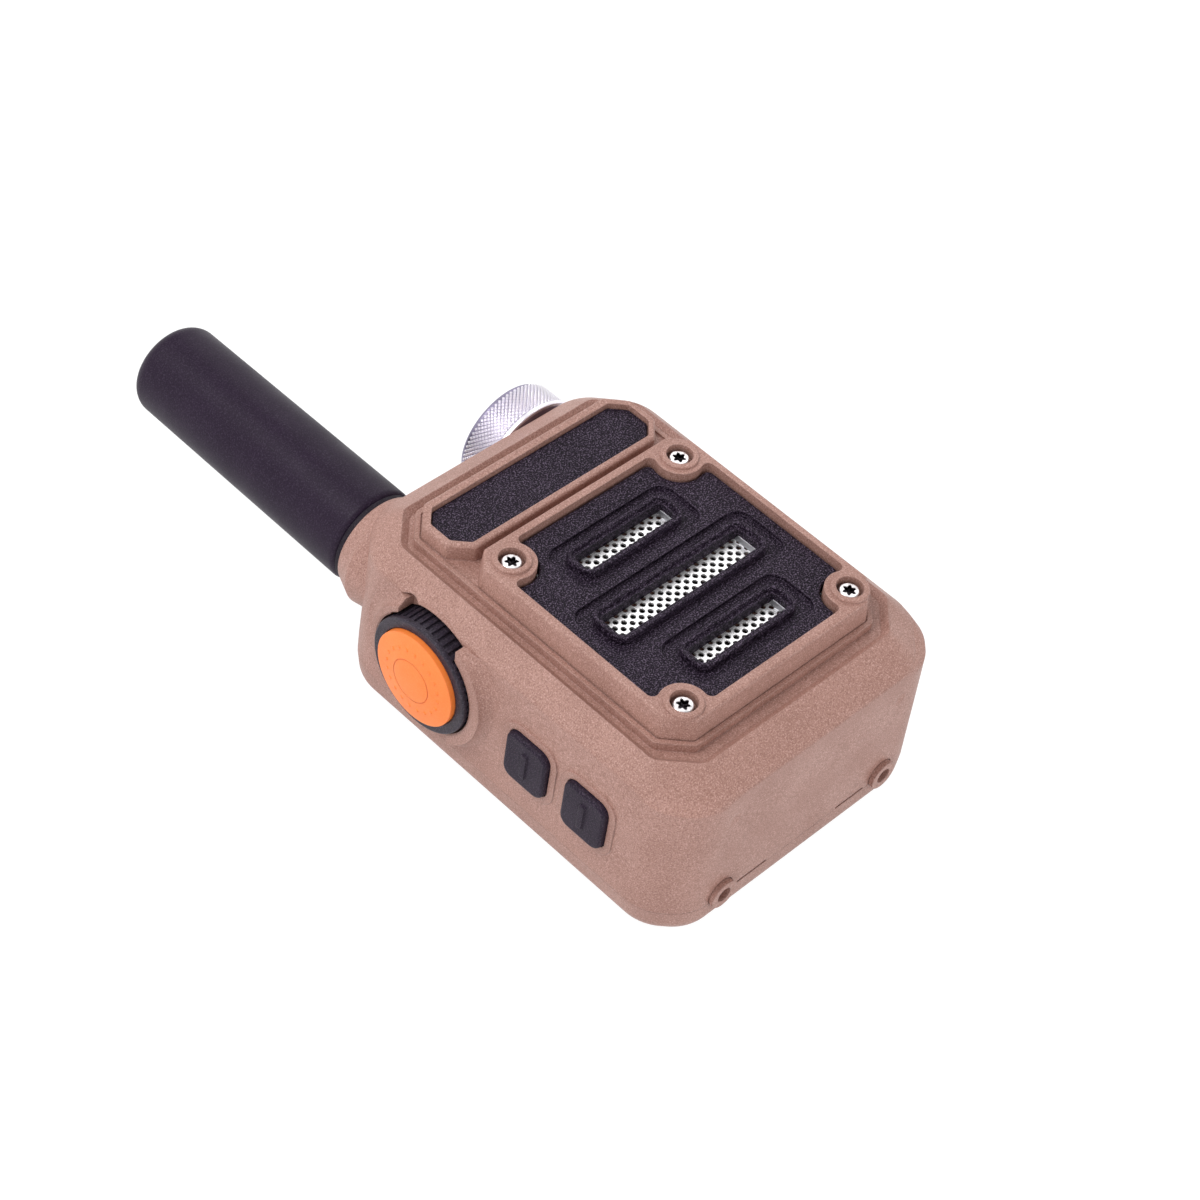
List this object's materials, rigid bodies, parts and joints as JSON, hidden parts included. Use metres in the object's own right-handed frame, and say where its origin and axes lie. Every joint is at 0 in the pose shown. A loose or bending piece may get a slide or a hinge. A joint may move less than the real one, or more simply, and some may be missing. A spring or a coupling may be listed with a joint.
{
  "type": "toy walkie talkie",
  "caption": "Chunky handheld toy walkie talkie: faceted tan case, black slotted speaker plate, stub antenna, knurled knob, round orange talk button and rubber side keys.",
  "frame": {"origin": "on the flat back face that the radio lies on, in the middle of its width and 40.8 mm above its lower end", "axes": "+X to the radio's own right as it is read from the front, away from the talk button; +Y up towards the antenna; +Z out of the speaker side"},
  "size_m": [0.0703, 0.1445, 0.0423],
  "materials": {
    "tan_plastic": "fine spark-eroded matte moulding",
    "black_plastic": "fine satin texture",
    "black_rubber": "satin silicone rubber",
    "grey_rubber": "satin washer",
    "orange_plastic": "satin orange",
    "steel": "plated",
    "knurled_aluminium": "diamond knurled",
    "brass": "turned",
    "board_green": "solder mask",
    "battery_wrap": "shrink wrap",
    "foam": "closed-cell foam",
    "paper": "pressed paper",
    "magnet": "ferrite"
  },
  "bodies": {
    "radio": {"front_housing": "tan_plastic", "rear_housing": "tan_plastic", "grille_plate": "black_plastic", "speaker_mesh": "steel", "name_plate": "black_plastic", "case_screws": "steel", "talk_ring": "black_rubber", "talk_switch": "black_plastic", "key_switches": "black_plastic", "side_board": "board_green", "antenna_sheath": "black_rubber", "antenna_collar": "grey_rubber", "antenna_connector": "brass", "antenna_rod": "brass", "rotary_switch": "steel", "rotary_nut": "steel", "circuit_board": "board_green", "radio_module": "steel", "battery_pack": "battery_wrap", "battery_foam": "foam", "microphone": "steel", "speaker_gasket": "foam", "speaker_frame": "steel", "speaker_cone": "paper", "speaker_magnet": "magnet", "charge_socket": "steel"},
    "talk_button": {"talk_cap": "orange_plastic", "talk_plunger": "black_plastic"},
    "upper_key": {"side_key_upper": "black_rubber"},
    "lower_key": {"side_key_lower": "black_rubber"},
    "knob": {"tuning_knob": "knurled_aluminium", "knob_shaft": "steel"}
  },
  "joints": [
    {"name": "talk_press", "type": "slide", "parent": "radio", "child": "talk_button", "axis": [1, 0, 0], "range_m": [0, 0.0012], "stiffness_N_per_m": 1300},
    {"name": "upper_key_press", "type": "slide", "parent": "radio", "child": "upper_key", "axis": [1, 0, 0], "range_m": [0, 0.0007], "stiffness_N_per_m": 2200},
    {"name": "lower_key_press", "type": "slide", "parent": "radio", "child": "lower_key", "axis": [1, 0, 0], "range_m": [0, 0.0007], "stiffness_N_per_m": 2200},
    {"name": "knob_turn", "type": "hinge", "parent": "radio", "child": "knob", "pos_m": [0.0162, 0.0478, 0.021], "axis": [0, 1, 0], "range_deg": [0, 300]}
  ]
}
